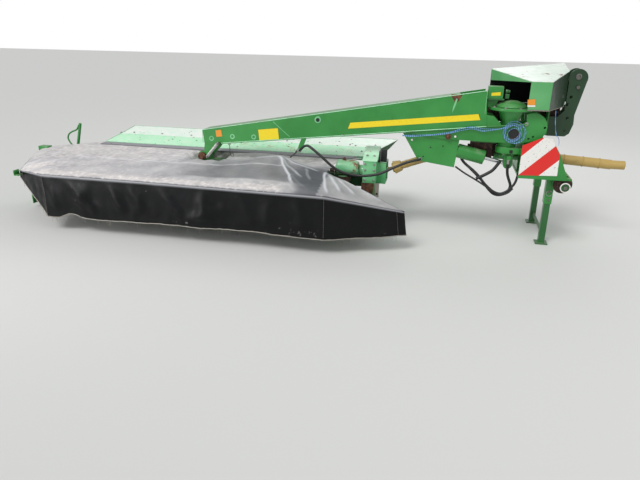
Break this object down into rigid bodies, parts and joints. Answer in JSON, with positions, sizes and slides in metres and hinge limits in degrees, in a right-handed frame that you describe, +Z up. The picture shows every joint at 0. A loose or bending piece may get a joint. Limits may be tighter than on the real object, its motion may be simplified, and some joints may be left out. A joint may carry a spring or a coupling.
{
  "type": "folded disc mower",
  "caption": "Mounted disc mower folded behind its headstock: green lifting arm, canvas-covered cutting bed, white hood, striped warning panel, parking stand.",
  "frame": {"origin": "middle of the footprint on the ground", "axes": "X towards the tractor, Y to the tractor's left, Z up"},
  "size_m": [5.365, 1.603, 1.402],
  "materials": {
    "green_paint": "faded gloss enamel",
    "green_plastic": "moulded, faded",
    "white_plastic": "moulded",
    "warning_foil": "red and white stripes",
    "beige_plastic": "moulded guard",
    "rusty_iron": "rusted",
    "dark_steel": "worn dark paint",
    "bare_steel": "ground and worn",
    "chrome_rod": "polished",
    "black_rubber": "matt",
    "grey_canvas": "coated canvas"
  },
  "bodies": {
    "headstock": {"headstock_frame": "green_paint", "king_arms": "green_paint", "mast": "green_paint", "hitch_pins": "bare_steel", "hood": "white_plastic", "warning_panel": "warning_foil", "input_gearbox": "green_paint", "input_shaft": "beige_plastic"},
    "stand": {"parking_stand": "green_paint"},
    "swivel": {"turret": "green_paint", "turret_cap": "green_plastic", "rod_clevis": "green_paint", "swivel_gearbox": "rusty_iron", "lift_hose": "black_rubber"},
    "arm": {"arm_beam": "green_paint", "arm_cheeks": "green_paint", "arm_skirt": "green_paint", "arm_pins": "rusty_iron", "hose_bracket": "green_paint", "arm_hose": "black_rubber"},
    "cylinder": {"lift_barrel": "green_paint"},
    "rod": {"lift_rod": "chrome_rod"},
    "bed": {"bed_beam": "green_paint", "bed_foot": "green_paint", "cutter_bar": "dark_steel", "skid_shoes": "bare_steel", "end_plates": "green_paint", "bed_gearbox": "green_paint", "gearbox_cover": "green_plastic", "canopy_ribs": "green_paint", "rear_cover": "green_paint", "rear_flap": "black_rubber", "swath_stick": "green_paint", "canvas_top": "grey_canvas"},
    "shaft": {"drive_shaft": "beige_plastic"},
    "guard": {"guard_frame": "green_paint", "canvas_front": "grey_canvas"},
    "disc_1": {"disc_1": "bare_steel"},
    "disc_2": {"disc_2": "bare_steel"},
    "disc_3": {"disc_3": "bare_steel"},
    "disc_4": {"disc_4": "bare_steel"},
    "disc_5": {"disc_5": "bare_steel"},
    "disc_6": {"disc_6": "bare_steel"},
    "disc_7": {"disc_7": "bare_steel"},
    "disc_8": {"disc_8": "bare_steel"}
  },
  "joints": [
    {"name": "arm_swing", "type": "hinge", "parent": "headstock", "child": "swivel", "pos_m": [1.6975, -0.0435, 0.9], "axis": [0, 0, 1], "range_deg": [0, 90]},
    {"name": "arm_lift", "type": "hinge", "parent": "swivel", "child": "arm", "pos_m": [1.7325, -0.0435, 0.905], "axis": [0, 1, 0], "range_deg": [0, 10]},
    {"name": "bed_tilt", "type": "hinge", "parent": "arm", "child": "bed", "pos_m": [-0.888, -0.0435, 0.584], "axis": [0, 1, 0], "range_deg": [-4, 12]},
    {"name": "guard_lift", "type": "hinge", "parent": "bed", "child": "guard", "pos_m": [-0.8025, -0.2635, 0.53191], "axis": [-1, 0, 0], "range_deg": [0, 75]},
    {"name": "stand_slide", "type": "slide", "parent": "headstock", "child": "stand", "axis": [0, 0, 1], "range_m": [0, 0.22]},
    {"name": "cylinder_swing", "type": "hinge", "parent": "arm", "child": "cylinder", "pos_m": [1.0775, -0.0675, 0.797], "axis": [0, 1, 0], "range_deg": [-2, 1]},
    {"name": "rod_slide", "type": "slide", "parent": "cylinder", "child": "rod", "axis": [0.9778, 0, -0.2093], "range_m": [-0.003, 0.045]},
    {"name": "shaft_swing", "type": "hinge", "parent": "bed", "child": "shaft", "pos_m": [0.7475, 0.0185, 0.53], "axis": [0, 1, 0], "range_deg": [-38, 14]},
    {"name": "disc_spin_1", "type": "hinge", "parent": "bed", "child": "disc_1", "pos_m": [-2.3425, -0.1435, 0.1], "axis": [0, 0, 1], "continuous": true},
    {"name": "disc_spin_2", "type": "hinge", "parent": "bed", "child": "disc_2", "pos_m": [-1.9525, -0.1435, 0.1], "axis": [0, 0, 1], "continuous": true},
    {"name": "disc_spin_3", "type": "hinge", "parent": "bed", "child": "disc_3", "pos_m": [-1.5625, -0.1435, 0.1], "axis": [0, 0, 1], "continuous": true},
    {"name": "disc_spin_4", "type": "hinge", "parent": "bed", "child": "disc_4", "pos_m": [-1.1725, -0.1435, 0.1], "axis": [0, 0, 1], "continuous": true},
    {"name": "disc_spin_5", "type": "hinge", "parent": "bed", "child": "disc_5", "pos_m": [-0.7825, -0.1435, 0.1], "axis": [0, 0, 1], "continuous": true},
    {"name": "disc_spin_6", "type": "hinge", "parent": "bed", "child": "disc_6", "pos_m": [-0.3925, -0.1435, 0.1], "axis": [0, 0, 1], "continuous": true},
    {"name": "disc_spin_7", "type": "hinge", "parent": "bed", "child": "disc_7", "pos_m": [-0.0025, -0.1435, 0.1], "axis": [0, 0, 1], "continuous": true},
    {"name": "disc_spin_8", "type": "hinge", "parent": "bed", "child": "disc_8", "pos_m": [0.3875, -0.1435, 0.1], "axis": [0, 0, 1], "continuous": true}
  ],
  "couplings": [
    {"joint": "cylinder_swing", "follows": "arm_lift", "ratio": -0.08268},
    {"joint": "rod_slide", "follows": "arm_lift", "m_per_rad": 0.2387},
    {"joint": "shaft_swing", "follows": "bed_tilt", "ratio": -3},
    {"joint": "disc_spin_2", "follows": "disc_spin_1", "ratio": -1},
    {"joint": "disc_spin_3", "follows": "disc_spin_1", "ratio": 1},
    {"joint": "disc_spin_4", "follows": "disc_spin_1", "ratio": -1},
    {"joint": "disc_spin_5", "follows": "disc_spin_1", "ratio": 1},
    {"joint": "disc_spin_6", "follows": "disc_spin_1", "ratio": -1},
    {"joint": "disc_spin_7", "follows": "disc_spin_1", "ratio": 1},
    {"joint": "disc_spin_8", "follows": "disc_spin_1", "ratio": -1}
  ]
}
